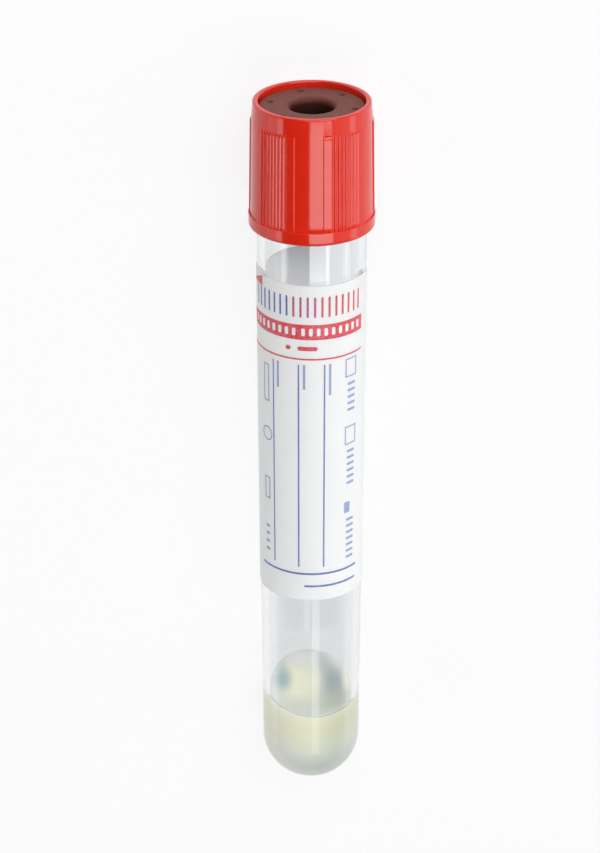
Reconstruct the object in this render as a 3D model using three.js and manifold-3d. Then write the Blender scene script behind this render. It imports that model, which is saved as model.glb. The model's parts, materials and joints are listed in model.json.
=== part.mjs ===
// Evacuated blood collection tube, 16 x 100 mm, for serum with a separator gel.
//
// A clear round-bottomed tube holds a plug of separator gel and wears a label wrapped round it.
// A rubber stopper closes its mouth. A ribbed plastic cap grips the stopper and shields the joint.
//
// Units are millimetres. Every piece is drawn upright about the Y axis: heights are measured along
// +Y from the outside tip of the round bottom, and azimuths turn from +Z towards +X.
// The assembled tube is then laid on its side, on the flange of its cap and its round bottom,
// so that +Z is up and the origin is the bottom centre of its bounding box.

import * as THREE from 'three';
import { mergeVertices } from 'three/addons/utils/BufferGeometryUtils.js';
import Module from 'manifold-3d';

const wasm = await Module();
wasm.setup();

const DEGREE = Math.PI / 180;

// ---- driving dimensions ----

const SIDES = 30;              // flats round each turned piece, one of them facing straight down

const TUBE_LENGTH = 100;
const MOUTH_RADIUS = 8;
const TUBE_DRAFT = 0.006;      // radius lost for each mm below the mouth
const TUBE_WALL = 1.1;
const TUBE_BASE = 1.3;         // thickness at the bottom tip
const LIP_ROUND = 0.25;        // rounding of the lip's two edges

const LABEL_DROP = 6.5;        // bare tube between the cap and the label
const LABEL_HEIGHT = 51.4;
const LABEL_THICKNESS = 0.12;
const LABEL_EDGE = 82;         // azimuth of the label's right-hand edge, in degrees
const LABEL_WINDOW = 50;       // bare strip beyond that edge, in degrees

const GEL_HEIGHT = 15.9;       // height on the axis of the rim of the gel's surface
const GEL_SLANT = 19;          // lean of that surface, in degrees
const GEL_LOW_SIDE = 10;       // azimuth of its lowest side, in degrees
const GEL_DISH = 0.8;          // depth of the dish in it

const SKIRT_OVERLAP = 7.4;     // the cap's skirt reaches this far down from the tube's lip
const CAP_HEIGHT = 18.8;
const FLANGE_WALL = 1.03;
const FLANGE_HEIGHT = 2;
const FLANGE_ROUND = 0.45;     // rounding of the flange's lower edge
const FLANGE_BEVEL = 0.12;     // bevel of its upper edge
const BARREL_STEP = 0.27;      // the barrel's foot stands in from the flange by this much
const BARREL_DRAFT = 0.0164;   // radius lost for each mm up the barrel
const BAND_HEIGHT = 2.4;       // plain band above the grip panels
const BAND_TAPER = 0.2;        // radius lost over that band
const RIM_WALL = 0.8;
const RIM_ROUND = 0.2;         // rounding of the rim's two edges
const SKIRT_LEAD_IN = 0.35;    // chamfer inside the skirt's mouth

const PANEL_COUNT = 5;
const PANEL_PHASE = 33;        // azimuth of the first panel's middle, in degrees
const PANEL_HALF_ANGLE = 23;
const PANEL_RAISE = 0.17;
const PANEL_EDGE = 0.7;        // angle taken up by each sloping side, in degrees
const PANEL_CHAMFER = 0.6;     // height taken up by the slope at its top
const GROOVE_COUNT = 8;
const GROOVE_PITCH = 4;        // in degrees
const GROOVE_HALF_ANGLE = 1.4;
const GROOVE_DEPTH = 0.17;

const STOPPER_RECESS = 0.7;    // the stopper's face lies this far below the cap's rim
const HEAD_EDGE = 0.3;         // chamfer of the head's top edge
const COLLAR_HEIGHT = 1.4;     // lower collar, which sits on the tube's lip
const COLLAR_INSET = 0.5;      // the collar is smaller than the mouth by this much
const WAIST_HEIGHT = 1.2;      // groove between collar and head, which takes the cap's ledge
const WAIST_DEPTH = 0.63;
const PLUG_LENGTH = 7;
const PLUG_NOSE = 0.6;         // chamfer at the plug's end
const WELL_LIP_RADIUS = 3.85;
const WELL_RADIUS = 3.1;
const WELL_FUNNEL = 1;         // depth over which the lip narrows to the well
const WELL_DEPTH = 7.5;
const SEPTUM = 4;              // rubber left between the well and the hollow below it
const HOLLOW_RADIUS = 3.1;     // hollow in the plug's underside, at its roof
const HOLLOW_MOUTH = 4;        // and at its mouth
const CORNER = 0.4;            // chamfer in the corners of the well's floor and the hollow's roof
const DIMPLE_COUNT = 6;
const DIMPLE_PHASE = 16;       // azimuth of the first dimple, in degrees
const DIMPLE_INSET = 1.4;      // from the head's edge to the middle of each dimple
const DIMPLE_RADIUS = 0.36;
const DIMPLE_DEPTH = 0.5;

// Clearances between pieces that touch on the real tube.
const WALL_GAP = 0.03;         // gel, plug and label against the tube's wall
const SEAT_GAP = 0.04;         // collar above lip
const SKIRT_GAP = 0.12;        // skirt round the mouth
const STOPPER_GAP = 0.05;      // cap round the stopper
const LEDGE_GAP = 0.1;         // cap's ledge above the collar and below the head

// ---- dimensions that follow from them ----

const tubeRadius = (height) => MOUTH_RADIUS - TUBE_DRAFT * (TUBE_LENGTH - height);
const boreRadius = (height) => tubeRadius(height) - TUBE_WALL;

const SKIRT_RADIUS = MOUTH_RADIUS + SKIRT_GAP;
const FLANGE_RADIUS = SKIRT_RADIUS + FLANGE_WALL;
const CAP_BOTTOM = TUBE_LENGTH - SKIRT_OVERLAP;
const CAP_TOP = CAP_BOTTOM + CAP_HEIGHT;
const BARREL_FOOT = CAP_BOTTOM + FLANGE_HEIGHT;
const BAND_FOOT = CAP_TOP - BAND_HEIGHT;
const barrelRadius = (height) => FLANGE_RADIUS - BARREL_STEP - BARREL_DRAFT * (height - BARREL_FOOT);
const RIM_RADIUS = barrelRadius(BAND_FOOT) - BAND_TAPER;
const OPENING_RADIUS = RIM_RADIUS - RIM_WALL;

const COLLAR_BOTTOM = TUBE_LENGTH + SEAT_GAP;
const COLLAR_RADIUS = MOUTH_RADIUS - COLLAR_INSET;
const WAIST_BOTTOM = COLLAR_BOTTOM + COLLAR_HEIGHT;
const HEAD_BOTTOM = WAIST_BOTTOM + WAIST_HEIGHT;
const HEAD_TOP = CAP_TOP - STOPPER_RECESS;
const HEAD_RADIUS = OPENING_RADIUS - STOPPER_GAP;
const WAIST_RADIUS = HEAD_RADIUS - WAIST_DEPTH;
const LEDGE_RADIUS = WAIST_RADIUS + STOPPER_GAP;
const LEDGE_BOTTOM = WAIST_BOTTOM + LEDGE_GAP;
const LEDGE_TOP = HEAD_BOTTOM - LEDGE_GAP;
const PLUG_BOTTOM = TUBE_LENGTH - PLUG_LENGTH;
const plugRadius = (height) => boreRadius(height) - WALL_GAP;
const WELL_FLOOR = HEAD_TOP - WELL_DEPTH;
const HOLLOW_ROOF = WELL_FLOOR - SEPTUM;
const DIMPLE_CIRCLE = HEAD_RADIUS - DIMPLE_INSET;

const LABEL_TOP = CAP_BOTTOM - LABEL_DROP;
const LABEL_BOTTOM = LABEL_TOP - LABEL_HEIGHT;

// ---- shapes ----

// Points on an arc in a profile, each [radius, height], from angle start to angle end.
function arc(centre, radius, start, end, steps) {
  const points = [];
  for (let i = 0; i <= steps; i += 1) {
    const angle = (start + (end - start) * (i / steps)) * DEGREE;
    points.push([centre[0] + radius * Math.cos(angle), centre[1] + radius * Math.sin(angle)]);
  }
  return points;
}

// Round end of a tapering wall, as an arc from the tip on the axis out to the wall.
function roundEnd(tip, wallRadius, steps) {
  const slope = TUBE_DRAFT / Math.hypot(1, TUBE_DRAFT);
  const centre = (tip + wallRadius(0) * Math.sqrt(1 - slope * slope)) / (1 - slope);
  const points = arc([0, centre], centre - tip, -90, -Math.asin(slope) / DEGREE, steps);
  points[0][0] = 0;
  return points;
}

// Solid of revolution about Y. The profile runs up the outside and back down the inside, from the
// axis to the axis or round a closed loop, and a flat of the polygon faces each of +Z and -Z.
function revolve(profile) {
  const points = profile.map(([radius, height]) => new THREE.Vector2(radius, height));
  return new THREE.LatheGeometry(points, SIDES, Math.PI / SIDES);
}

// Straight bar along Y, with an outline of [azimuth in degrees, radius] corners.
function prism(corners, bottom, top) {
  const outline = corners.map(([azimuth, radius]) => new THREE.Vector2(
    radius * Math.sin(azimuth * DEGREE),
    radius * Math.cos(azimuth * DEGREE),
  ));
  const shape = new THREE.Shape(outline);
  const bar = new THREE.ExtrudeGeometry(shape, { depth: top - bottom, bevelEnabled: false });
  return bar.rotateX(Math.PI / 2).translate(0, top, 0);
}

// Body about Y whose rings all have corners at the same azimuths, closed by a flat fan at each end.
function stackRings(azimuths, rings) {
  const positions = [];
  for (const { height, radii } of rings) {
    azimuths.forEach((azimuth, i) => {
      positions.push(radii[i] * Math.sin(azimuth * DEGREE), height, radii[i] * Math.cos(azimuth * DEGREE));
    });
  }
  const count = azimuths.length;
  const lowCentre = rings.length * count;
  const highCentre = lowCentre + 1;
  positions.push(0, rings[0].height, 0, 0, rings[rings.length - 1].height, 0);

  const index = [];
  for (let i = 0; i < count; i += 1) {
    const next = (i + 1) % count;
    for (let ring = 0; ring < rings.length - 1; ring += 1) {
      const low = ring * count;
      const high = low + count;
      index.push(low + i, low + next, high + i);
      index.push(low + next, high + next, high + i);
    }
    const last = (rings.length - 1) * count;
    index.push(lowCentre, next, i);
    index.push(highCentre, last + i, last + next);
  }
  const geometry = new THREE.BufferGeometry();
  geometry.setAttribute('position', new THREE.Float32BufferAttribute(positions, 3));
  geometry.setIndex(index);
  return geometry;
}

// ---- joining and cutting ----

// A closed mesh as a solid that can be cut: its corners are merged and its empty triangles dropped.
function solid(geometry) {
  const bare = geometry.clone();
  bare.deleteAttribute('normal');
  bare.deleteAttribute('uv');
  const merged = mergeVertices(bare, 1e-5);
  const corners = merged.getIndex().array;
  const triangles = [];
  for (let i = 0; i < corners.length; i += 3) {
    const [a, b, c] = corners.slice(i, i + 3);
    if (a !== b && b !== c && c !== a) triangles.push(a, b, c);
  }
  return new wasm.Manifold(new wasm.Mesh({
    numProp: 3,
    vertProperties: new Float32Array(merged.getAttribute('position').array),
    triVerts: new Uint32Array(triangles),
  }));
}

function geometryOf(shape) {
  const mesh = shape.getMesh();
  const geometry = new THREE.BufferGeometry();
  geometry.setAttribute('position', new THREE.BufferAttribute(mesh.vertProperties.slice(), 3));
  geometry.setIndex(new THREE.BufferAttribute(mesh.triVerts.slice(), 1));
  return geometry;
}

// ---- pieces ----

// Thin wall with a rounded lip and a round bottom.
function tubeGeometry() {
  const outerLip = [MOUTH_RADIUS - LIP_ROUND, TUBE_LENGTH - LIP_ROUND];
  const innerLip = [boreRadius(TUBE_LENGTH) + LIP_ROUND, TUBE_LENGTH - LIP_ROUND];
  return revolve([
    ...roundEnd(0, tubeRadius, 9),
    ...arc(outerLip, LIP_ROUND, 0, 90, 2),
    ...arc(innerLip, LIP_ROUND, 90, 180, 2),
    ...roundEnd(TUBE_BASE, boreRadius, 8).reverse(),
  ]);
}

// Film wrapped round the tube, stopping short of meeting itself.
function labelGeometry() {
  const innerRadius = (height) => tubeRadius(height) + WALL_GAP;
  const outerRadius = (height) => innerRadius(height) + LABEL_THICKNESS;
  const sleeve = revolve([
    [outerRadius(LABEL_BOTTOM), LABEL_BOTTOM],
    [outerRadius(LABEL_TOP), LABEL_TOP],
    [innerRadius(LABEL_TOP), LABEL_TOP],
    [innerRadius(LABEL_BOTTOM), LABEL_BOTTOM],
    [outerRadius(LABEL_BOTTOM), LABEL_BOTTOM],
  ]);
  const reach = 2 * MOUTH_RADIUS;
  const window = prism([
    [0, 0],
    [LABEL_EDGE, reach],
    [LABEL_EDGE + LABEL_WINDOW, reach],
  ], LABEL_BOTTOM - 1, LABEL_TOP + 1);
  return geometryOf(solid(sleeve).subtract(solid(window)));
}

// Plug of gel that fills the round bottom, with a leaning, slightly dished surface.
function gelGeometry() {
  const bore = boreRadius(GEL_HEIGHT);
  const surfaceRise = bore * Math.tan(GEL_SLANT * DEGREE);
  const top = GEL_HEIGHT + surfaceRise + 2 * GEL_DISH;
  const gelRadius = (height) => boreRadius(height) - WALL_GAP;
  const filling = revolve([
    ...roundEnd(TUBE_BASE + WALL_GAP, gelRadius, 8),
    [gelRadius(top), top],
    [0, top],
  ]);
  const dishRadius = (bore * bore + GEL_DISH * GEL_DISH) / (2 * GEL_DISH);
  const dishEdge = 1.5 * Math.asin(bore / dishRadius) / DEGREE;
  const bowl = arc([0, dishRadius - GEL_DISH], dishRadius, -90, -90 + dishEdge, 9);
  bowl[0][0] = 0;
  const bowlRadius = bowl[bowl.length - 1][0];
  const cutter = revolve([...bowl, [bowlRadius, 2 * top], [0, 2 * top]]);
  cutter.rotateX(GEL_SLANT * DEGREE).rotateY(GEL_LOW_SIDE * DEGREE).translate(0, GEL_HEIGHT, 0);
  return geometryOf(solid(filling).subtract(solid(cutter)));
}

// Rubber stopper: a plug hollowed from below, a collar, a waist, and a head with a needle well.
function stopperGeometry() {
  const noseTop = PLUG_BOTTOM + 1.5 * PLUG_NOSE;
  const funnelWidth = WELL_LIP_RADIUS - WELL_RADIUS;
  const funnel = arc([0, 0], 1, 90, 180, 4).map(([along, up]) => [
    WELL_LIP_RADIUS + funnelWidth * along,
    HEAD_TOP - WELL_FUNNEL * (1 - up),
  ]);
  const body = revolve([
    [0, HOLLOW_ROOF],
    [HOLLOW_RADIUS - CORNER, HOLLOW_ROOF],
    [HOLLOW_RADIUS, HOLLOW_ROOF - CORNER],
    [HOLLOW_MOUTH, PLUG_BOTTOM],
    [plugRadius(PLUG_BOTTOM) - PLUG_NOSE, PLUG_BOTTOM],
    [plugRadius(noseTop), noseTop],
    [plugRadius(TUBE_LENGTH), COLLAR_BOTTOM],
    [COLLAR_RADIUS, COLLAR_BOTTOM],
    [COLLAR_RADIUS, WAIST_BOTTOM],
    [WAIST_RADIUS, WAIST_BOTTOM],
    [WAIST_RADIUS, HEAD_BOTTOM],
    [HEAD_RADIUS, HEAD_BOTTOM],
    [HEAD_RADIUS, HEAD_TOP - HEAD_EDGE],
    [HEAD_RADIUS - HEAD_EDGE, HEAD_TOP],
    ...funnel,
    [WELL_RADIUS, WELL_FLOOR + CORNER],
    [WELL_RADIUS - CORNER, WELL_FLOOR],
    [0, WELL_FLOOR],
  ]);
  let shape = solid(body);
  for (let i = 0; i < DIMPLE_COUNT; i += 1) {
    const azimuth = (DIMPLE_PHASE + (360 / DIMPLE_COUNT) * i) * DEGREE;
    const dimple = new THREE.CylinderGeometry(DIMPLE_RADIUS, DIMPLE_RADIUS, 2 * DIMPLE_DEPTH, 8);
    dimple.translate(DIMPLE_CIRCLE * Math.sin(azimuth), HEAD_TOP, DIMPLE_CIRCLE * Math.cos(azimuth));
    shape = shape.subtract(solid(dimple));
  }
  return geometryOf(shape);
}

// Corners round one grip panel and the plain land after it: [azimuth, height above the land].
function panelCorners(middle) {
  const edge = PANEL_HALF_ANGLE;
  const corners = [[-edge, 0], [-edge + PANEL_EDGE, PANEL_RAISE]];
  for (let i = 0; i < GROOVE_COUNT; i += 1) {
    const groove = (i - (GROOVE_COUNT - 1) / 2) * GROOVE_PITCH;
    corners.push([groove - GROOVE_HALF_ANGLE, PANEL_RAISE]);
    corners.push([groove, PANEL_RAISE - GROOVE_DEPTH]);
    corners.push([groove + GROOVE_HALF_ANGLE, PANEL_RAISE]);
  }
  corners.push([edge - PANEL_EDGE, PANEL_RAISE], [edge, 0]);
  const land = 360 / PANEL_COUNT - 2 * edge;
  const flats = Math.max(1, Math.round((land * SIDES) / 360));
  for (let i = 1; i < flats; i += 1) corners.push([edge + (land * i) / flats, 0]);
  return corners.map(([azimuth, raise]) => [middle + azimuth, raise]);
}

// Cap's barrel as a solid plug, from inside the flange up to the rounded rim.
function barrelGeometry() {
  const corners = [];
  for (let i = 0; i < PANEL_COUNT; i += 1) {
    corners.push(...panelCorners(PANEL_PHASE + (360 / PANEL_COUNT) * i));
  }
  const ring = (height, radius, raised) => ({
    height,
    radii: corners.map(([, raise]) => radius + raised * raise),
  });
  const panelTop = BAND_FOOT - PANEL_CHAMFER;
  const start = CAP_BOTTOM + FLANGE_HEIGHT / 2;
  const rim = arc([RIM_RADIUS - RIM_ROUND, CAP_TOP - RIM_ROUND], RIM_ROUND, 0, 90, 3);
  return stackRings(corners.map(([azimuth]) => azimuth), [
    ring(start, barrelRadius(start), 1),
    ring(panelTop, barrelRadius(panelTop), 1),
    ring(BAND_FOOT, barrelRadius(BAND_FOOT), 0),
    ...rim.map(([radius, height]) => ring(height, radius, 0)),
  ]);
}

// Flange round the cap's foot, as a solid disc.
function flangeGeometry() {
  const round = [FLANGE_RADIUS - FLANGE_ROUND, CAP_BOTTOM + FLANGE_ROUND];
  return revolve([
    [0, CAP_BOTTOM],
    ...arc(round, FLANGE_ROUND, -90, 0, 3),
    [FLANGE_RADIUS, BARREL_FOOT - FLANGE_BEVEL],
    [FLANGE_RADIUS - FLANGE_BEVEL, BARREL_FOOT],
    [0, BARREL_FOOT],
  ]);
}

// Hollow of the cap: the skirt, the ledge that grips the stopper's waist, and the opening above.
function capHollowGeometry() {
  const beyond = 1;
  const rim = arc([OPENING_RADIUS + RIM_ROUND, CAP_TOP - RIM_ROUND], RIM_ROUND, 180, 90, 3);
  return revolve([
    [0, CAP_BOTTOM - beyond],
    [SKIRT_RADIUS + SKIRT_LEAD_IN, CAP_BOTTOM - beyond],
    [SKIRT_RADIUS + SKIRT_LEAD_IN, CAP_BOTTOM],
    [SKIRT_RADIUS, CAP_BOTTOM + SKIRT_LEAD_IN],
    [SKIRT_RADIUS, LEDGE_BOTTOM],
    [LEDGE_RADIUS, LEDGE_BOTTOM],
    [LEDGE_RADIUS, LEDGE_TOP],
    [OPENING_RADIUS, LEDGE_TOP],
    ...rim,
    [OPENING_RADIUS + RIM_ROUND, CAP_TOP + beyond],
    [0, CAP_TOP + beyond],
  ]);
}

function capGeometry() {
  const body = solid(barrelGeometry()).add(solid(flangeGeometry()));
  return geometryOf(body.subtract(solid(capHollowGeometry())));
}

// ---- assembly ----

function piece(name, geometry, material) {
  const mesh = new THREE.Mesh(geometry, new THREE.MeshStandardMaterial(material));
  mesh.name = name;
  return mesh;
}

// Lean of the axis when the flange and the round bottom both touch the ground.
function restingLean() {
  const flat = Math.cos(Math.PI / SIDES);
  const flangeHeight = CAP_BOTTOM + FLANGE_ROUND;
  const leans = roundEnd(0, tubeRadius, 9).map(([radius, height]) => (
    Math.atan2((FLANGE_RADIUS - radius) * flat, flangeHeight - height)
  ));
  return Math.min(...leans);
}

const group = new THREE.Group();
group.add(
  piece('tube', tubeGeometry(), { color: 0xe6ebee, roughness: 0.06, transparent: true, opacity: 0.35 }),
  piece('label', labelGeometry(), { color: 0xf0f2f4, roughness: 0.45 }),
  piece('gel', gelGeometry(), { color: 0xe2e0bd, roughness: 0.2 }),
  piece('stopper', stopperGeometry(), { color: 0x7d524c, roughness: 0.7 }),
  piece('cap', capGeometry(), { color: 0xd92b14, roughness: 0.3 }),
);
group.rotation.x = restingLean();
group.updateMatrixWorld(true);
const bounds = new THREE.Box3().setFromObject(group, true);
const middle = bounds.getCenter(new THREE.Vector3());
group.position.set(-middle.x, -middle.y, -bounds.min.z);

export default group;
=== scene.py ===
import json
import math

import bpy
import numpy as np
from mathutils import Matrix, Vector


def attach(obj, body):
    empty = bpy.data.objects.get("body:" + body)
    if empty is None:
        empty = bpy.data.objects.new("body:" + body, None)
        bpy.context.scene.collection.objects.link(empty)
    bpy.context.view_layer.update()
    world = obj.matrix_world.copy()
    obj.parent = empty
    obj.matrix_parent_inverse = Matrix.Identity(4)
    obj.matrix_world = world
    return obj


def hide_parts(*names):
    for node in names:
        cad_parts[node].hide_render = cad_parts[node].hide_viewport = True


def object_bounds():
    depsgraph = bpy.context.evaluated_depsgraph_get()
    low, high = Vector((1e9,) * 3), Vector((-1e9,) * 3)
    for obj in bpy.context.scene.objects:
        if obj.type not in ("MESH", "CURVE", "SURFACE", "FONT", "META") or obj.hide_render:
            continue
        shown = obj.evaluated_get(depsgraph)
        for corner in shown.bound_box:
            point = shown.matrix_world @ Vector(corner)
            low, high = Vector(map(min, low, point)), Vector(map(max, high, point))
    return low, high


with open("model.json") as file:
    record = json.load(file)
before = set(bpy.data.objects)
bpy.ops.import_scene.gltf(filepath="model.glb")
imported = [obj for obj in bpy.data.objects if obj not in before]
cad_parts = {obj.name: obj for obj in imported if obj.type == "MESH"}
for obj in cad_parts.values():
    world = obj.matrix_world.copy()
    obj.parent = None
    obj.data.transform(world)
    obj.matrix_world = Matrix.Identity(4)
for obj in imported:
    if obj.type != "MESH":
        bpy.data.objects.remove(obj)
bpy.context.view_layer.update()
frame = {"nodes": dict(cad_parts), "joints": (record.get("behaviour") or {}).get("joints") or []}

# An evacuated blood collection tube, 16 x 100 mm: a clear tube with separator gel in its round bottom,
# a printed label, a brown rubber stopper and a ribbed red cap.
#
# Sizes are in millimetres, angles in degrees. Every piece is drawn upright about the Y axis, as the
# CAD pieces were: heights run along +Y from the outside tip of the round bottom, and azimuths turn
# from +Z towards +X. LAID_DOWN then takes it to the row frame, where the tube lies on its side.

MM = 0.001
DEGREE = math.pi / 180

# ---- the tube's own axes in the row frame ----

UP = Vector(frame["joints"][0]["axis"]).normalized()    # along the tube, towards its cap
RIGHT = Vector((1, 0, 0))
FRONT = RIGHT.cross(UP)


def reach(name, direction):
    """Lowest and highest position of a CAD node along a direction, in metres."""
    along = [v.co.dot(direction) for v in frame["nodes"][name].data.vertices]
    return min(along), max(along)


TIP = (
    RIGHT * sum(reach("tube", RIGHT)) / 2
    + FRONT * sum(reach("tube", FRONT)) / 2
    + UP * reach("tube", UP)[0]
)
LAID_DOWN = Matrix.Translation(TIP) @ Matrix((RIGHT, UP, FRONT)).transposed().to_4x4()


def heights(name):
    """Lowest and highest height of a CAD node above the tip, in millimetres."""
    low, high = reach(name, UP)
    tip = reach("tube", UP)[0]
    return (low - tip) / MM, (high - tip) / MM


# ---- sizes ----

TUBE_LENGTH = heights("tube")[1]
MOUTH_RADIUS = reach("tube", RIGHT)[1] / MM
TUBE_DRAFT = 0.006             # radius lost for each mm below the mouth
TUBE_WALL = 1.1
TUBE_BASE = 1.3                # thickness at the bottom tip
LIP_ROUND = 0.25
LIP_REACH = 1                  # the lip's outline starts this far below the mouth
WALL_START = 8.5               # height, above the round bottom, where the wall's even rings start

LABEL_BOTTOM, LABEL_TOP = heights("label")
LABEL_THICKNESS = 0.12
LABEL_EDGE = 82                # azimuth of the label's right-hand edge
LABEL_WINDOW = 80              # bare strip beyond that edge, wider than the CAD label's 50

GEL_HEIGHT = 15.9              # height on the axis of the rim of the gel's surface
GEL_SLANT = 19                 # lean of that surface
GEL_LOW_SIDE = 10              # azimuth of its lowest side
GEL_DISH = 0.8                 # depth of the dish in it
GEL_CURL = 0.25                # rise where it wets the wall
GEL_CURL_WIDTH = 0.3
GEL_SINK = 0.2                 # lowers the surface, so that its curled rim stays near GEL_HEIGHT

CAP_BOTTOM, CAP_TOP = heights("cap")
FLANGE_RADIUS = reach("cap", RIGHT)[1] / MM
SKIRT_RADIUS = FLANGE_RADIUS - 1.03
SKIRT_LEAD_IN = 0.35           # chamfer inside the skirt's mouth
BARREL_FOOT = CAP_BOTTOM + 2
BARREL_STEP = 0.27             # the barrel's foot stands in from the flange by this much
BARREL_DRAFT = 0.0164          # radius lost for each mm up the barrel
BARREL_SPLAY = 0.02            # the lowest FOOT_HEIGHT of the barrel spreads out by this much
FOOT_HEIGHT = 0.06
BAND_FOOT = CAP_TOP - 2.4      # plain band above the grip panels
BAND_TAPER = 0.2
RIM_WALL = 0.8
RIM_FILLET = 0.25
PANEL_COUNT = 5
PANEL_PHASE = 33               # azimuth of the first panel's middle
PANEL_HALF_ANGLE = 23
PANEL_SIDE_ANGLE = 0.9         # taken up by the slope at each side of a panel
PANEL_RAISE = 0.17
PANEL_CHAMFER = 0.6            # height taken up by the slope at its top
GROOVE_COUNT = 8
GROOVE_PITCH = 3.75
GROOVE_DEPTH = 0.17
GROOVE_REACH = 0.42            # half the width of a groove, as a share of the pitch
GROOVE_STEEPNESS = 1.25        # of its sides: above 1 its floor is flat

PLUG_BOTTOM, HEAD_TOP = heights("stopper")
PLUG_NOSE = 0.6
COLLAR_BOTTOM = TUBE_LENGTH + 0.04
COLLAR_RADIUS = MOUTH_RADIUS - 0.5
WAIST_BOTTOM = COLLAR_BOTTOM + 1.4
HEAD_BOTTOM = WAIST_BOTTOM + 1.2
WAIST_DEPTH = 0.63
STOPPER_GAP = 0.05             # cap round the stopper
LEDGE_GAP = 0.1                # cap's ledge above the collar and below the head
WALL_GAP = 0.03                # plug inside the tube's bore, and CAD label outside its wall
WELL_RADIUS = 3.1
WELL_ROLL = 0.85               # rolled edge of the well's mouth
WELL_FLOOR = HEAD_TOP - 7.5
HOLLOW_ROOF = WELL_FLOOR - 4
HOLLOW_RADIUS = 3.1
HOLLOW_MOUTH = 4
CORNER = 0.4
DIMPLE_COUNT = 6
DIMPLE_PHASE = 16              # azimuth of the first dimple
DIMPLE_INSET = 1.4             # from the head's edge to the middle of each dimple
DIMPLE_RADIUS = 0.52
DIMPLE_DEPTH = 0.9
DIMPLE_STEEPNESS = 2.0
FACE_SINK = 0.15               # the head's face is drawn this far below the CAD piece's

BOND = 0.02                    # label and gel reach this far into the wall, so no air shows between
SUPPORT = 0.04                 # a ring this far beyond each end of a fillet keeps the wall's shading flat


def tube_radius(height):
    return MOUTH_RADIUS - TUBE_DRAFT * (TUBE_LENGTH - height)


def bore_radius(height):
    return tube_radius(height) - TUBE_WALL


def label_radius(height):
    return tube_radius(height) + WALL_GAP + LABEL_THICKNESS


def barrel_radius(height):
    return FLANGE_RADIUS - BARREL_STEP - BARREL_DRAFT * (height - BARREL_FOOT)


RIM_RADIUS = barrel_radius(BAND_FOOT) - BAND_TAPER
OPENING_RADIUS = RIM_RADIUS - RIM_WALL
HEAD_RADIUS = OPENING_RADIUS - STOPPER_GAP
WAIST_RADIUS = HEAD_RADIUS - WAIST_DEPTH


# ---- sums on arrays ----

def smooth_step(value):
    value = np.clip(value, 0, 1)
    return value * value * (3 - 2 * value)


def blend(colours, colour, share):
    share = np.asarray(share, float)[:, None]
    return colours * (1 - share) + np.asarray(colour) * share


def about_middle(azimuths, first, count):
    """Angle of each azimuth from the nearest of count places spread evenly from the first."""
    turn = 360 / count
    return (azimuths - first + turn / 2) % turn - turn / 2


# ---- outlines ----

def rounded(corners, steps=5):
    """Outline through (radius, height, fillet) corners, each turned into an arc of its own fillet."""
    outline = []
    for i, (radius, height, fillet) in enumerate(corners):
        corner = np.array((radius, height), float)
        if fillet == 0:
            outline.append(tuple(corner))
            continue
        back = np.array(corners[i - 1][:2]) - corner
        ahead = np.array(corners[i + 1][:2]) - corner
        back /= np.linalg.norm(back)
        ahead /= np.linalg.norm(ahead)
        half = math.acos(np.clip(back @ ahead, -1, 1)) / 2
        centre = corner + (back + ahead) / np.linalg.norm(back + ahead) * fillet / math.sin(half)
        reach_back = fillet / math.tan(half)
        start = corner + back * reach_back - centre
        end = corner + ahead * reach_back - centre
        turn = math.pi - 2 * half
        outline.append(tuple(corner + back * (reach_back + SUPPORT)))
        for share in np.linspace(0, 1, steps + 1):
            arm = start * math.sin((1 - share) * turn) + end * math.sin(share * turn)
            outline.append(tuple(centre + arm / math.sin(turn)))
        outline.append(tuple(corner + ahead * (reach_back + SUPPORT)))
    return outline


def round_end(tip, wall_radius):
    """Arc from the tip on the axis out to where it meets a tapering wall."""
    slope = TUBE_DRAFT / math.hypot(1, TUBE_DRAFT)
    centre = (tip + wall_radius(0) * math.sqrt(1 - slope * slope)) / (1 - slope)
    angles = np.linspace(-math.pi / 2, -math.asin(slope), 25)
    radius = centre - tip
    return [(max(radius * math.cos(a), 0), centre + radius * math.sin(a)) for a in angles]


def spread(start, end, count):
    """Points from one (radius, height) towards another, without either of the two."""
    shares = np.linspace(0, 1, count + 2)[1:-1]
    return [tuple(np.array(start) * (1 - s) + np.array(end) * s) for s in shares]


# ---- meshes ----

def add_piece(name, points, faces, body, slot, material):
    """Piece from upright points in millimetres, laid down and riding on its body."""
    mesh = bpy.data.meshes.new(name)
    mesh.from_pydata((points * MM).tolist(), [], faces)
    upright = mesh.attributes.new("upright", "FLOAT_VECTOR", "POINT")
    upright.data.foreach_set("vector", points.astype(np.float32).ravel())
    mesh.transform(LAID_DOWN)
    mesh.shade_smooth()
    mesh.set_sharp_from_angle(angle=40 * DEGREE)
    mesh.materials.append(material)
    piece = bpy.data.objects.new(name, mesh)
    bpy.context.scene.collection.objects.link(piece)
    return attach(piece, body)


def turned(azimuths, radii, levels, closed=False):
    """Points and faces of rings about Y, given as (ring, azimuth) tables of radius and height.

    The rings run up the outside and back down the inside. A ring of no radius becomes one point."""
    count = len(azimuths)
    sines, cosines = np.sin(azimuths * DEGREE), np.cos(azimuths * DEGREE)
    points, rings = [], []
    for radius, level in zip(radii, levels):
        if radius.max() < 1e-6:
            rings.append([len(points)] * count)
            points.append((0, level.mean(), 0))
        else:
            rings.append(list(range(len(points), len(points) + count)))
            points += zip(radius * sines, level, radius * cosines)
    pairs = list(zip(rings, rings[1:]))
    if closed:
        pairs.append((rings[-1], rings[0]))
    faces = []
    for low, high in pairs:
        for i in range(count):
            j = (i + 1) % count
            corners = (low[i], low[j], high[j], high[i])
            faces.append(tuple(dict.fromkeys(corners)))
    return np.array(points, float), faces


# ---- materials ----

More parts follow.
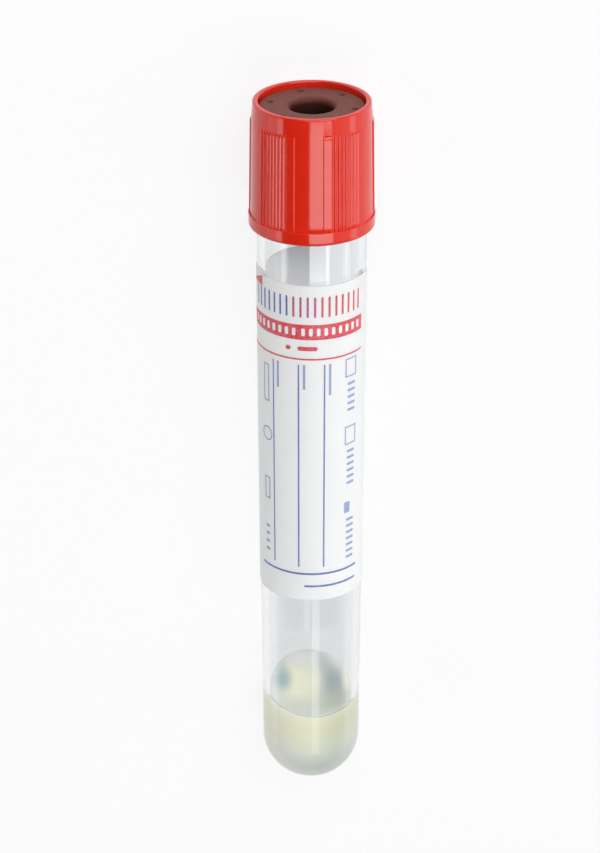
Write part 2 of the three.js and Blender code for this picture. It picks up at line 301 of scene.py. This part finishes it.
def principled(name, **sockets):
    """Material with one Principled shader, given by its socket names with underscores for spaces."""
    material = bpy.data.materials.new(name)
    material.use_nodes = True
    shader = material.node_tree.nodes["Principled BSDF"]
    for socket, value in sockets.items():
        shader.inputs[socket.replace("_", " ")].default_value = value
    return material, shader


def node(material, kind, **values):
    """New node whose named fields and, for names that are sockets, inputs are set."""
    made = material.node_tree.nodes.new(kind)
    for key, value in values.items():
        if key in made.inputs:
            made.inputs[key].default_value = value
        else:
            setattr(made, key, value)
    return made


def link(material, output, socket):
    material.node_tree.links.new(output, socket)


def upright_place(material, scale=1.0):
    """Socket with a point's place in the tube's own axes, in millimetres times scale."""
    source = node(material, "ShaderNodeAttribute", attribute_name="upright")
    scaled = node(material, "ShaderNodeVectorMath", operation="SCALE", Scale=scale)
    link(material, source.outputs["Vector"], scaled.inputs[0])
    return scaled.outputs[0]


def noise(material, size, detail=3.0):
    """Factor of a noise whose lumps are about size millimetres across."""
    made = node(material, "ShaderNodeTexNoise", Scale=1.0, Detail=detail)
    link(material, upright_place(material, 1 / size), made.inputs["Vector"])
    return made.outputs["Fac"]


def ramp(material, factor, stops):
    """Colour ramp through (position, colour) stops."""
    made = node(material, "ShaderNodeValToRGB")
    elements = made.color_ramp.elements
    while len(elements) < len(stops):
        elements.new(0.5)
    for element, (position, colour) in zip(elements, stops):
        element.position = position
        element.color = (*colour, 1)
    link(material, factor, made.inputs[0])
    return made.outputs[0]


def multiplied(material, first, second):
    """Product of two colours."""
    product = node(material, "ShaderNodeVectorMath", operation="MULTIPLY")
    link(material, first, product.inputs[0])
    link(material, second, product.inputs[1])
    return product.outputs[0]


def bump(material, shader, factor, strength, height_mm):
    made = node(material, "ShaderNodeBump", Strength=strength, Distance=height_mm * MM)
    link(material, factor, made.inputs["Height"])
    link(material, made.outputs[0], shader.inputs["Normal"])


def grey(value):
    return (value, value, value)


def for_rays(material, rays, share, shader, other):
    """Give the named kinds of ray this share of the other shader. All other rays meet the first."""
    path = node(material, "ShaderNodeLightPath")
    chosen = path.outputs[rays[0]]
    for ray in rays[1:]:
        either = node(material, "ShaderNodeMath", operation="MAXIMUM")
        link(material, chosen, either.inputs[0])
        link(material, path.outputs[ray], either.inputs[1])
        chosen = either.outputs[0]
    part = node(material, "ShaderNodeMath", operation="MULTIPLY")
    part.inputs[1].default_value = share
    link(material, chosen, part.inputs[0])
    mixed = node(material, "ShaderNodeMixShader")
    link(material, part.outputs[0], mixed.inputs[0])
    link(material, shader.outputs[0], mixed.inputs[1])
    link(material, other.outputs[0], mixed.inputs[2])
    link(material, mixed.outputs[0], material.node_tree.nodes["Material Output"].inputs["Surface"])


def clear_plastic():
    """PET that bends and mirrors what is seen, and lets the lamps' light straight through."""
    material, shader = principled(
        "clear_pet", Base_Color=(0.90, 0.915, 0.925, 1), Roughness=0.02, IOR=1.57, Transmission_Weight=1.0,
    )
    bump(material, shader, noise(material, 9, 1.0), 0.25, 0.05)
    open_way = node(material, "ShaderNodeBsdfTransparent", Color=(*grey(1.0), 1))
    for_rays(material, ("Is Shadow Ray", "Is Diffuse Ray"), 1.0, shader, open_way)
    return material


def label_film():
    """White satin film. Each of its faces lets nine tenths of the lamps' light straight through."""
    material, shader = principled(
        "label_film", Roughness=0.45, IOR=1.45, Subsurface_Weight=1.0,
        Subsurface_Radius=(0.4 * MM, 0.4 * MM, 0.4 * MM), Subsurface_Scale=1.0,
    )
    tint = ramp(material, noise(material, 5), [(0.3, (0.89, 0.91, 0.935)), (0.7, (0.91, 0.93, 0.95))])
    link(material, tint, shader.inputs["Base Color"])
    bump(material, shader, noise(material, 0.15), 0.15, 0.01)
    open_way = node(material, "ShaderNodeBsdfTransparent", Color=(0.97, 0.98, 1.0, 1))
    for_rays(material, ("Is Shadow Ray",), 0.9, shader, open_way)
    return material


def ink(name, colour):
    """Satin printing ink, very slightly uneven."""
    material, shader = principled(name, Roughness=0.4)
    pale = tuple(c + (1 - c) * 0.12 for c in colour)
    tint = ramp(material, noise(material, 0.4), [(0.35, colour), (0.75, pale)])
    link(material, tint, shader.inputs["Base Color"])
    return material


def separator_gel():
    """Cloudy gel whose colour, with its painted shade and painted reflections, comes from its mesh and
    drifts from place to place.
    """
    material, shader = principled(
        "separator_gel", Roughness=0.15, IOR=1.4, Subsurface_Weight=1.0, Specular_IOR_Level=0.3,
        Subsurface_Radius=(3.5 * MM, 3.5 * MM, 3.2 * MM), Subsurface_Scale=1.0,
    )
    gel_colour_with_painted_light = node(material, "ShaderNodeAttribute", attribute_name="gel_colour_with_painted_light")
    grain = ramp(material, noise(material, 1.5), [(0.3, grey(0.98)), (0.7, grey(1.0))])
    link(material, multiplied(material, gel_colour_with_painted_light.outputs["Color"], grain), shader.inputs["Base Color"])
    return material


def red_plastic():
    """Glossy injection-moulded plastic."""
    material, shader = principled("red_plastic", Roughness=0.12, IOR=1.55)
    tint = ramp(material, noise(material, 3), [(0.3, (0.69, 0.017, 0.004)), (0.7, (0.73, 0.021, 0.005))])
    link(material, tint, shader.inputs["Base Color"])
    bump(material, shader, noise(material, 0.25), 0.1, 0.01)
    return material


WELL_PAINTED_SHADES = (                  # painted shade: depth below the head's face, and the share of its colour left there
    (2.4, (0.05, 0.035, 0.025)),
    (1.0, (0.24, 0.17, 0.12)),
    (0.3, (0.68, 0.59, 0.50)),
    (0.05, (1.0, 1.0, 1.0)),
)
WELL_SHADE_FOOT = 0.5            # the painted darkening starts this far below the well's floor
WELL_SHADE_RISE = 0.4            # and is full this far above its start


def brown_rubber():
    """Matt butyl rubber with a fine grain, and painted shade: darker and warmer with depth below the head's
    face, in the well and all else at those heights.
    """
    material, shader = principled("brown_rubber", Roughness=0.6, IOR=1.45, Specular_IOR_Level=0.3)
    low, high = WELL_FLOOR - WELL_SHADE_FOOT, HEAD_TOP - FACE_SINK
    split = node(material, "ShaderNodeSeparateXYZ")
    link(material, upright_place(material), split.inputs[0])
    level = node(material, "ShaderNodeMapRange", **{"From Min": low, "From Max": high})
    link(material, split.outputs["Y"], level.inputs["Value"])
    # painted shade: the rubber darkens with depth below the head's face, down into the well
    stops = [(0, grey(1.0)), (WELL_SHADE_RISE / (high - low), WELL_PAINTED_SHADES[0][1])]
    stops += [(1 - depth / (high - low), shade) for depth, shade in WELL_PAINTED_SHADES]
    painted_well_shade = ramp(material, level.outputs[0], stops)
    tint = ramp(material, noise(material, 1.2), [(0.3, (0.165, 0.048, 0.038)), (0.7, (0.195, 0.058, 0.047))])
    link(material, multiplied(material, tint, painted_well_shade), shader.inputs["Base Color"])
    bump(material, shader, noise(material, 0.12), 0.3, 0.02)
    return material


def floor_white():
    """Matt white that shows nearly white to whatever looks at it, and still takes shadows."""
    material, shader = principled(
        "floor_white", Base_Color=(*grey(0.88), 1), Roughness=0.9, Specular_IOR_Level=0.0,
    )
    glow = node(material, "ShaderNodeEmission", Color=(*grey(1.0), 1), Strength=1.0)
    for_rays(material, ("Is Camera Ray", "Is Glossy Ray", "Is Transmission Ray"), 0.85, shader, glow)
    return material


# ---- tube ----

def make_tube():
    lip_start = TUBE_LENGTH - LIP_REACH
    lip = rounded([
        (tube_radius(lip_start), lip_start, 0),
        (tube_radius(TUBE_LENGTH), TUBE_LENGTH, LIP_ROUND),
        (bore_radius(TUBE_LENGTH), TUBE_LENGTH, LIP_ROUND),
        (bore_radius(lip_start), lip_start, 0),
    ])
    outside = (tube_radius(WALL_START), WALL_START)
    inside = (bore_radius(WALL_START), WALL_START)
    outline = np.array(
        round_end(0, tube_radius) + [outside] + spread(outside, lip[0], 12) + lip
        + spread(lip[-1], inside, 12) + [inside] + round_end(TUBE_BASE, bore_radius)[::-1]
    )
    azimuths = np.arange(360)
    ones = np.ones(len(azimuths))
    solid = turned(azimuths, outline[:, :1] * ones, outline[:, 1:] * ones)
    piece = add_piece("clear_tube", *solid, "tube", "tube", clear_plastic())
    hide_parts("tube")


# ---- label ----

def make_label():
    """Film wrapped round the tube, stopping short of meeting itself."""
    columns = np.linspace(LABEL_EDGE + LABEL_WINDOW - 360, LABEL_EDGE, 181)
    levels = np.linspace(LABEL_BOTTOM, LABEL_TOP, 27)
    points = []
    for radius_of in (label_radius, lambda height: tube_radius(height) - BOND):
        for azimuth in columns * DEGREE:
            for level in levels:
                radius = radius_of(level)
                points.append((radius * math.sin(azimuth), level, radius * math.cos(azimuth)))
    tall, wide = len(levels), len(columns)
    last, top = wide - 1, tall - 1

    def at(side, column, level):
        return (side * wide + column) * tall + level

    faces = []
    for c in range(last):
        for k in range(top):
            faces.append((at(0, c, k), at(0, c + 1, k), at(0, c + 1, k + 1), at(0, c, k + 1)))
            faces.append((at(1, c, k), at(1, c, k + 1), at(1, c + 1, k + 1), at(1, c + 1, k)))
        faces.append((at(0, c, 0), at(1, c, 0), at(1, c + 1, 0), at(0, c + 1, 0)))
        faces.append((at(0, c, top), at(0, c + 1, top), at(1, c + 1, top), at(1, c, top)))
    for k in range(top):
        faces.append((at(0, 0, k), at(0, 0, k + 1), at(1, 0, k + 1), at(1, 0, k)))
        faces.append((at(0, last, k), at(1, last, k), at(1, last, k + 1), at(0, last, k + 1)))
    piece = add_piece("label_film", np.array(points), faces, "tube", "label", label_film())
    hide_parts("label")


# ---- print on the label ----

ARC_MM = MOUTH_RADIUS * DEGREE   # width on the label of one degree
PRINT_RIGHT = 63                 # red band and rule run to here, and as near to the label's other edge
PRINT_LEFT = 2 * LABEL_EDGE + LABEL_WINDOW - 360 - PRINT_RIGHT
HAIRLINE = 0.2
TICK = 0.42                      # width of the short bars
PART_GAP = 0.01                  # between the parts of one mark, so that each is a closed solid
END_SHARE = 0.98                 # of a fillet is cut away at a bar's end, so that no end is a point
INK_LIFT = 0.012                 # proud of the label
INK_SINK = 0.01                  # into the label


def bar(start, end, low, high, fillet=0.0):
    """One mark of columns (azimuth, low, high): a bar, with rounded corners if it has a fillet."""
    fillet = min(fillet, (high - low) / 2, (end - start) * ARC_MM / 2)
    columns = []
    for share in np.linspace(0, 1, 7) if fillet else [1]:
        turn = share * math.pi / 2
        along = fillet * (1 - math.cos(turn)) if fillet else 0
        inset = fillet * (1 - math.sin(turn)) * END_SHARE if fillet else 0
        columns.append((start + along / ARC_MM, low + inset, high - inset))
    mirrored = [(start + end - azimuth, bottom, top) for azimuth, bottom, top in columns[::-1]]
    first, last = columns[-1][0], mirrored[0][0]
    between = max(int((last - first) / 2), 0)
    columns += [(a, low, high) for a in np.linspace(first, last, between + 2)[1:-1]]
    return [columns + mirrored]


def upright_line(azimuth, low, high, width=HAIRLINE):
    half = width / 2 / ARC_MM
    return bar(azimuth - half, azimuth + half, low, high)


def ring(azimuth, height, radius):
    """Upper and lower halves of a ring."""
    halves = []
    for side in (1, -1):
        columns = []
        for turn in np.linspace(0.04, math.pi - 0.04, 25):
            x = -radius * math.cos(turn)
            outer = radius * math.sin(turn)
            inner = math.sqrt(max((radius - HAIRLINE) ** 2 - x * x, (PART_GAP / 2) ** 2))
            ends = sorted((height + side * inner, height + side * outer))
            columns.append((azimuth + x / ARC_MM, *ends))
        halves.append(columns)
    return halves


def box(start, end, low, high):
    """Four bars round a field."""
    side = HAIRLINE / ARC_MM
    inner = (low + HAIRLINE + PART_GAP, high - HAIRLINE - PART_GAP)
    return (
        bar(start, end, low, low + HAIRLINE)
        + bar(start, end, high - HAIRLINE, high)
        + bar(start, start + side, *inner)
        + bar(end - side, end, *inner)
    )


def ticks(start, end, top, count, pitch):
    """Column of short bars across the tube, from the top down."""
    marks = []
    for i in range(count):
        marks += bar(start, end, top - i * pitch - TICK, top - i * pitch, TICK / 2)
    return marks


def bar_row(azimuths, half_width, low, high, fillet):
    """Row of equal bars round the tube."""
    marks = []
    for azimuth in azimuths:
        marks += bar(azimuth - half_width, azimuth + half_width, low, high, fillet)
    return marks


def add_print(name, colour, marks, lift):
    """Thin closed patches of ink on the label, lift millimetres proud of it."""
    points, faces = [], []
    for columns in marks:
        first = len(points)
        for azimuth, low, high in columns:
            for proud in (lift, -INK_SINK):
                for level in (low, high):
                    radius = label_radius(level) + proud
                    angle = azimuth * DEGREE
                    points.append((radius * math.sin(angle), level, radius * math.cos(angle)))
        faces.append((first, first + 1, first + 3, first + 2))
        for i in range(first, len(points) - 4, 4):
            faces.append((i, i + 4, i + 5, i + 1))
            faces.append((i + 2, i + 3, i + 7, i + 6))
            faces.append((i, i + 2, i + 6, i + 4))
            faces.append((i + 1, i + 5, i + 7, i + 3))
        end = len(points) - 4
        faces.append((end, end + 2, end + 3, end + 1))
    add_piece(name, np.array(points), faces, "tube", "label", ink(name, colour))


def red_marks():
    """Band with a rule under it, two marks between them, and a wedge at the left."""
    wedge_left, wedge_right, wedge_foot = -84, -62, 84.5
    wedge = [
        (azimuth, wedge_foot, wedge_foot + 0.2 + (azimuth - wedge_left) * 0.06)
        for azimuth in np.linspace(wedge_left, wedge_right, 12)
    ]
    return (
        bar(PRINT_LEFT, PRINT_RIGHT, 77.69, 80.06)
        + bar(PRINT_LEFT, PRINT_RIGHT, 74.47, 74.72)
        + bar(-28, -22.5, 75.95, 76.6, 0.3)
        + bar(-15, 6, 75.95, 76.6, 0.3)
        + [wedge]
    )


def blue_marks():
    """Lines along the tube between the writing fields, and two rules below them."""
    marks = []
    for azimuth in (-44.3, -14.0, 13.5):
        marks += upright_line(azimuth, 40.35, 73.7)
    return marks + bar(-66, 58, 39.05, 39.35, 0.15) + bar(-8, 56, 36.95, 37.25, 0.15)


def pale_blue_marks():
    """Strokes, small boxes, ticks and a ring in and beside the writing fields."""
    marks = []
    for azimuth, length in ((-38, 4.5), (-8, 4.2), (19.5, 5.3)):
        marks += upright_line(azimuth, 74 - length, 73.7, 0.34)
    for low in (70.9, 59.9):
        marks += box(38, 54, low, low + 3)
    for top, count in ((70, 5), (59, 6), (47.6, 7)):
        marks += ticks(41, 52, top, count, 1.05)
    marks += bar(38, 46, 48.6, 50.4, 0.2)
    marks += box(-60, -51, 66.5, 72.5) + ring(-55, 61.2, 1.15) + box(-60, -51, 50.4, 54)
    return marks + ticks(-59, -52, 46, 4, 1.3)


def make_print():
    """Fields of colour, rules and plain marks that stand where the label's printing is."""
    upper_row = np.linspace(-72, 56, 18)
    is_blue, is_red = upper_row < -20, upper_row >= 10

    def upper_bars(azimuths):
        return bar_row(azimuths, 1.1, 81.2, 84.4, 0.15)

    windows = [*np.linspace(-75, -19, 8), *np.linspace(-9, 55, 9)]
    add_print("red_ink", (0.70, 0.045, 0.07), red_marks() + upper_bars(upper_row[is_red]), INK_LIFT)
    add_print("blue_ink", (0.10, 0.16, 0.50), blue_marks() + upper_bars(upper_row[is_blue]), INK_LIFT)
    add_print("pale_blue_ink", (0.30, 0.37, 0.66), pale_blue_marks(), INK_LIFT)
    add_print("violet_ink", (0.50, 0.06, 0.22), upper_bars(upper_row[~is_blue & ~is_red]), INK_LIFT)
    add_print("white_ink", (0.86, 0.86, 0.87), bar_row(windows, 1.9, 78.3, 79.5, 0.2), 2 * INK_LIFT)


# ---- gel ----

GEL_LEVELS = (0, 5.5, 8, 10.5, 14)
GEL_COLOURS_WITH_PAINTED_SHADE = (                   # colour of the body at each of these heights: its own yellow, with painted shade that makes it darker and greyer towards the bottom
    (0.80, 0.84, 0.79),
    (0.90, 0.93, 0.85),
    (0.96, 0.97, 0.83),
    (0.99, 0.975, 0.74),
    (0.99, 0.975, 0.76),
)
GEL_PAINTED_SHADE_TO_RIGHT = (0.34, 0.31, 0.30)     # painted shade: share of each colour lost towards the right
GEL_TOP_SHADE = (0.76, 0.79, 0.71)
GEL_PAINTED_REFLECTIONS_AND_SHADE = (                   # painted reflections and shade on the surface: (x, z) of the middle, half widths, colour
    ((0, -7), (7, 4), (0.92, 0.93, 0.90)),
    ((4.5, 2.5), (4.5, 6.0), (0.60, 0.63, 0.55)),
    ((2.3, -5.2), (2.2, 4.0), (0.62, 0.66, 0.66)),
    ((-5.6, -4.4), (2.0, 3.0), (0.58, 0.62, 0.60)),
    ((-1.8, -0.8), (4.6, 5.5), (0.98, 0.96, 0.76)),
    ((5.4, -1.2), (1.2, 2.2), (0.98, 0.95, 0.72)),
    ((3.7, -1.5), (2.7, 4.4), (0.48, 0.55, 0.54)),
    ((-4.6, -1.2), (2.4, 3.4), (0.46, 0.57, 0.57)),
)
CONTACT_PAINTED_SHADE = (0.24, 0.26, 0.19)      # painted shade: dark line where the surface meets the wall, in front
CONTACT_WIDTH = 0.3
CONTACT_DROPS = (0.35, 0.25, 0.15, 0.05, 0)     # how far below that line the rings near it lie
# how sharply the painted patches on the surface fade at their edges
PAINTED_PATCH_STEEPNESS = 1.15


def wet_radius(height):
    return bore_radius(height) + BOND


def gel_surface(radius, azimuths):
    """Height of the gel's leaning, dished surface, curled up a little where it wets the wall."""
    bore = bore_radius(GEL_HEIGHT)
    downhill = radius * np.cos((azimuths - GEL_LOW_SIDE) * DEGREE)
    lean = -math.tan(GEL_SLANT * DEGREE) * downhill
    dish = -GEL_DISH * (1 - (radius / bore) ** 2)
    curl = GEL_CURL * np.exp((radius - bore) / GEL_CURL_WIDTH) - GEL_SINK
    return GEL_HEIGHT + lean + dish + curl


def gel_colours(points, depth):
    """Colour of each point: yellow above, grey-green below, with painted shade towards the bottom and the
    right, painted reflections and shade in patches on the surface, and a painted dark line at its front
    edge.

    Depth is the distance in from the contact line on the surface, and is negative below the line."""
    x, height, z = points.T
    # the body's colour by height, with painted shade darkening it lower down
    colours = np.array([np.interp(height, GEL_LEVELS, shade) for shade in zip(*GEL_COLOURS_WITH_PAINTED_SHADE)]).T
    # painted shade: the body darkens towards the right
    colours = colours * (1 - smooth_step((x + 4) / 9)[:, None] * GEL_PAINTED_SHADE_TO_RIGHT)
    surface = np.ones((len(points), 1)) * GEL_TOP_SHADE
    # painted reflections and shade in patches on the surface
    for (middle_x, middle_z), (half_x, half_z), colour in GEL_PAINTED_REFLECTIONS_AND_SHADE:
        away = np.hypot((x - middle_x) / half_x, (z - middle_z) / half_z)
        surface = blend(surface, colour, smooth_step(PAINTED_PATCH_STEEPNESS * (1 - away)))
    colours = blend(colours, surface, depth >= 0)
    # painted shade: the dark line where the surface meets the wall is drawn at the front only
    front_only_line_share = smooth_step((z + 3) / 4)
    return blend(colours, CONTACT_PAINTED_SHADE, smooth_step(1 - np.abs(depth) / CONTACT_WIDTH) * front_only_line_share)


def make_gel():
    azimuths = np.arange(0, 360, 2.0)
    ones = np.ones(len(azimuths))
    rings = [(r * ones, h * ones) for r, h in round_end(TUBE_BASE - BOND, wet_radius)]
    wall_start = rings[-1][1]
    contact = gel_surface(wet_radius(GEL_HEIGHT), azimuths)
    for share in np.linspace(0, 1, 14)[1:-1]:
        level = wall_start + (contact - CONTACT_DROPS[0] - wall_start) * share
        rings.append((wet_radius(level), level))
    rings += [(wet_radius(contact - drop), contact - drop) for drop in CONTACT_DROPS]
    first_of_brim = 1 + (len(rings) - 2) * len(azimuths)
    brim = rings[-1][0]
    for share in 1 - np.linspace(0, 1, 61)[1:] ** 1.2:       # rings a little closer together at the brim
        radius = brim * share
        rings.append((radius, gel_surface(radius, azimuths)))
    points, faces = turned(azimuths, *zip(*rings))
    piece = add_piece("gel_plug", points, faces, "tube", "gel", separator_gel())

    around = np.degrees(np.arctan2(points[:, 0], points[:, 2]))
    inward = wet_radius(points[:, 1]) - np.hypot(points[:, 0], points[:, 2])
    below = points[:, 1] - gel_surface(wet_radius(GEL_HEIGHT), around)
    on_surface = np.arange(len(points)) >= first_of_brim
    depth = np.where(on_surface, inward, np.minimum(below, -0.001))
    colours = np.column_stack((gel_colours(points, depth), np.ones(len(points))))
    # the gel's colours, painted shade and reflections among them, are stored on its points
    gel_colour_with_painted_light = piece.data.attributes.new("gel_colour_with_painted_light", "FLOAT_COLOR", "POINT")
    gel_colour_with_painted_light.data.foreach_set("color", colours.astype(np.float32).ravel())
    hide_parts("gel")


# ---- cap ----

def panel_raise(azimuths):
    """Height of the grip panels and their grooves above the plain lands between them."""
    local = about_middle(azimuths, PANEL_PHASE, PANEL_COUNT)
    panel = smooth_step((PANEL_HALF_ANGLE - np.abs(local)) / PANEL_SIDE_ANGLE)
    middle = (GROOVE_COUNT - 1) / 2
    index = np.clip(np.round(local / GROOVE_PITCH + middle), 0, GROOVE_COUNT - 1)
    groove = (index - middle) * GROOVE_PITCH
    across = np.clip((local - groove) / (GROOVE_PITCH * GROOVE_REACH), -1, 1)
    cut = smooth_step(GROOVE_STEEPNESS * (1 - np.abs(across)))
    return PANEL_RAISE * panel - GROOVE_DEPTH * cut * (panel > 0)


def cap_azimuths():
    """Azimuths close together over the grooves and panel edges, and wide apart on the plain lands."""
    edge = PANEL_HALF_ANGLE
    ribbed = (GROOVE_COUNT + 0.5) * GROOVE_PITCH / 2
    local = np.concatenate([
        np.arange(-edge - 0.1, -edge + 1.1, 0.2),
        np.linspace(-edge + 1.6, -ribbed - 0.5, 5),
        np.arange(-ribbed, ribbed, GROOVE_PITCH / 10),
        np.linspace(ribbed + 0.5, edge - 1.6, 5),
        np.arange(edge - 1.1, edge + 0.2, 0.2),
        np.linspace(edge + 1.5, 360 / PANEL_COUNT - edge - 1.5, 12),
    ])
    turns = [PANEL_PHASE + 360 / PANEL_COUNT * i for i in range(PANEL_COUNT)]
    return np.concatenate([local + turn for turn in turns])


def make_cap():
    panel_top = BAND_FOOT - PANEL_CHAMFER
    foot_top = BARREL_FOOT + FOOT_HEIGHT
    seam = CAP_TOP - 2
    outside = rounded([
        (SKIRT_RADIUS + SKIRT_LEAD_IN, CAP_BOTTOM, 0),
        (FLANGE_RADIUS, CAP_BOTTOM, 0.45),
        (FLANGE_RADIUS, BARREL_FOOT, 0.06),
        (barrel_radius(BARREL_FOOT), BARREL_FOOT, 0),
    ])
    outside[-2:] = [(barrel_radius(BARREL_FOOT) + BARREL_SPLAY, BARREL_FOOT)]
    barrel = [(barrel_radius(foot_top), foot_top)]
    barrel += spread(barrel[0], (barrel_radius(panel_top), panel_top), 9)
    barrel += [(barrel_radius(h), h) for h in np.linspace(panel_top, BAND_FOOT, 9)]
    top = rounded([
        (barrel_radius(BAND_FOOT), BAND_FOOT, 0),
        (RIM_RADIUS, CAP_TOP, RIM_FILLET),
        (OPENING_RADIUS, CAP_TOP, RIM_FILLET),
        (OPENING_RADIUS, seam, 0),
    ])[1:]
    ledge_radius = WAIST_RADIUS + STOPPER_GAP
    inside = rounded([
        (OPENING_RADIUS, seam, 0),
        (OPENING_RADIUS, HEAD_BOTTOM - LEDGE_GAP, 0.1),
        (ledge_radius, HEAD_BOTTOM - LEDGE_GAP, 0.08),
        (ledge_radius, WAIST_BOTTOM + LEDGE_GAP, 0.08),
        (SKIRT_RADIUS, WAIST_BOTTOM + LEDGE_GAP, 0.15),
        (SKIRT_RADIUS, CAP_BOTTOM + SKIRT_LEAD_IN, 0),
    ])[1:]
    outline = np.array(outside + barrel + top + inside)
    share = np.zeros(len(outline))
    ribbed = slice(len(outside) - 1, len(outside) + len(barrel))
    share[ribbed] = smooth_step((BAND_FOOT - outline[ribbed, 1]) / PANEL_CHAMFER)
    azimuths = cap_azimuths()
    radii = outline[:, :1] + share[:, None] * panel_raise(azimuths)
    levels = outline[:, 1:] * np.ones(len(azimuths))
    solid = turned(azimuths, radii, levels, closed=True)
    piece = add_piece("ribbed_cap", *solid, "closure", "cap", red_plastic())
    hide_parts("cap")


# ---- stopper ----

def make_stopper():
    face_level = HEAD_TOP - FACE_SINK
    face_start = HEAD_RADIUS - 0.5
    face_end = WELL_RADIUS + WELL_ROLL + 0.2    # its flat part runs in from face_start to here
    plug_top = bore_radius(TUBE_LENGTH) - WALL_GAP
    plug_end = bore_radius(PLUG_BOTTOM) - WALL_GAP
    below = rounded([
        (0, HOLLOW_ROOF, 0),
        (HOLLOW_RADIUS, HOLLOW_ROOF, CORNER),
        (HOLLOW_MOUTH, PLUG_BOTTOM, 0.25),
        (plug_end, PLUG_BOTTOM, PLUG_NOSE),
        (plug_top, COLLAR_BOTTOM, 0.15),
        (COLLAR_RADIUS, COLLAR_BOTTOM, 0.2),
        (COLLAR_RADIUS, WAIST_BOTTOM, 0.2),
        (WAIST_RADIUS, WAIST_BOTTOM, 0.2),
        (WAIST_RADIUS, HEAD_BOTTOM, 0.2),
        (HEAD_RADIUS, HEAD_BOTTOM, 0.2),
        (HEAD_RADIUS, face_level, 0.3),
        (face_start, face_level, 0),
    ])
    face = spread((face_start, face_level), (face_end, face_level), 48)
    well = rounded([
        (face_end, face_level, 0),
        (WELL_RADIUS, face_level, WELL_ROLL),
        (WELL_RADIUS, WELL_FLOOR, CORNER),
        (0, WELL_FLOOR, 0),
    ], steps=8)
    outline = np.array(below + face + well)
    azimuths = np.arange(0, 360, 0.75)
    ones = np.ones(len(azimuths))
    radii, levels = outline[:, :1] * ones, outline[:, 1:] * ones
    circle = HEAD_RADIUS - DIMPLE_INSET
    local = about_middle(azimuths, DIMPLE_PHASE, DIMPLE_COUNT) * DEGREE
    across = np.hypot(radii * np.cos(local) - circle, radii * np.sin(local))
    on_face = (levels > face_level - 0.01) & (radii < face_start) & (radii > face_end)
    levels = levels - DIMPLE_DEPTH * on_face * smooth_step(DIMPLE_STEEPNESS * (1 - across / DIMPLE_RADIUS))
    solid = turned(azimuths, radii, levels)
    piece = add_piece("rubber_stopper", *solid, "closure", "stopper", brown_rubber())
    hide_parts("stopper")


# ---- studio ----

CAMERA_PLACE = (-1.7, 256.3, 400.6)    # beside the upright tube
CAMERA_PITCH = 26.11             # looks down this much from square to the tube
CAMERA_LENS = 126.6
LAMP_DISTANCE = 1500
FLOOR_HALF = 6.0                 # metres from its middle to each edge


def make_camera():
    pitch = CAMERA_PITCH * DEGREE
    up = Vector((0, math.cos(pitch), -math.sin(pitch)))
    right = Vector((1, 0, 0))
    turn = Matrix((right, up, right.cross(up))).transposed().to_4x4()
    camera = bpy.data.objects.new("camera", bpy.data.cameras.new("camera"))
    camera.data.lens = CAMERA_LENS
    camera.data.clip_start = 0.01
    camera.matrix_world = LAID_DOWN @ Matrix.Translation(Vector(CAMERA_PLACE) * MM) @ turn
    bpy.context.scene.collection.objects.link(camera)
    bpy.context.scene.camera = camera


def softbox(name, azimuths, tilts, radiance):
    """Area lamp that spans these azimuths about the tube, and these tilts towards its round end."""
    azimuth, tilt = sum(azimuths) / 2 * DEGREE, sum(tilts) / 2 * DEGREE
    out = Vector((math.sin(azimuth) * math.cos(tilt), -math.sin(tilt), math.cos(azimuth) * math.cos(tilt)))
    across = Vector((math.cos(azimuth), 0, -math.sin(azimuth)))
    turn = Matrix((across, out.cross(across), out)).transposed().to_4x4()
    distance = LAMP_DISTANCE * MM
    lamp = bpy.data.lights.new(name, "AREA")
    lamp.shape = "RECTANGLE"
    lamp.size = 2 * distance * math.tan((azimuths[1] - azimuths[0]) / 2 * DEGREE) * math.cos(tilt)
    lamp.size_y = 2 * distance * math.tan((tilts[1] - tilts[0]) / 2 * DEGREE)
    lamp.energy = radiance * math.pi * lamp.size * lamp.size_y
    made = bpy.data.objects.new(name, lamp)
    middle = Vector((0, TUBE_LENGTH / 2 * MM, 0))
    made.matrix_world = LAID_DOWN @ Matrix.Translation(middle + out * distance) @ turn
    made.visible_camera = False
    bpy.context.scene.collection.objects.link(made)


def make_lamps():
    softbox("key", (-4, 38), (8, 25.5), 3.6)
    softbox("key_tail", (2, 20), (25.5, 38), 1.0)
    softbox("top", (-16, 52), (-64, -19), 3.3)
    softbox("right", (40, 72), (-20, 27), 0.7)
    softbox("right_low", (74, 89), (-5, 27), 1.7)
    softbox("left", (-67, -56), (2, 27), 2.1)
    softbox("left_low", (-95, -67), (2, 27), 0.9)


def make_world():
    """Grey walls that darken towards the ceiling."""
    world = bpy.data.worlds.new("studio")
    world.use_nodes = True
    tree = world.node_tree
    place = tree.nodes.new("ShaderNodeTexCoord")
    split = tree.nodes.new("ShaderNodeSeparateXYZ")
    shade = tree.nodes.new("ShaderNodeValToRGB")
    for element, (position, value) in zip(shade.color_ramp.elements, ((0.1, 0.38), (0.6, 0.08))):
        element.position = position
        element.color = (*grey(value), 1)
    tree.links.new(place.outputs["Generated"], split.inputs[0])
    tree.links.new(split.outputs["Z"], shade.inputs[0])
    tree.links.new(shade.outputs[0], tree.nodes["Background"].inputs["Color"])
    bpy.context.scene.world = world


def make_floor():
    """Pale floor that the tube lies on."""
    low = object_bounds()[0].z
    corners = [(x * FLOOR_HALF, y * FLOOR_HALF, low) for x, y in ((-1, -1), (1, -1), (1, 1), (-1, 1))]
    mesh = bpy.data.meshes.new("floor")
    mesh.from_pydata(corners, [], [(0, 1, 2, 3)])
    mesh.materials.append(floor_white())
    floor = bpy.data.objects.new("floor", mesh)
    bpy.context.scene.collection.objects.link(floor)


make_tube()
make_label()
make_print()
make_gel()
make_cap()
make_stopper()
make_camera()
make_lamps()
make_world()
make_floor()

bpy.context.scene.view_settings.view_transform = "Standard"
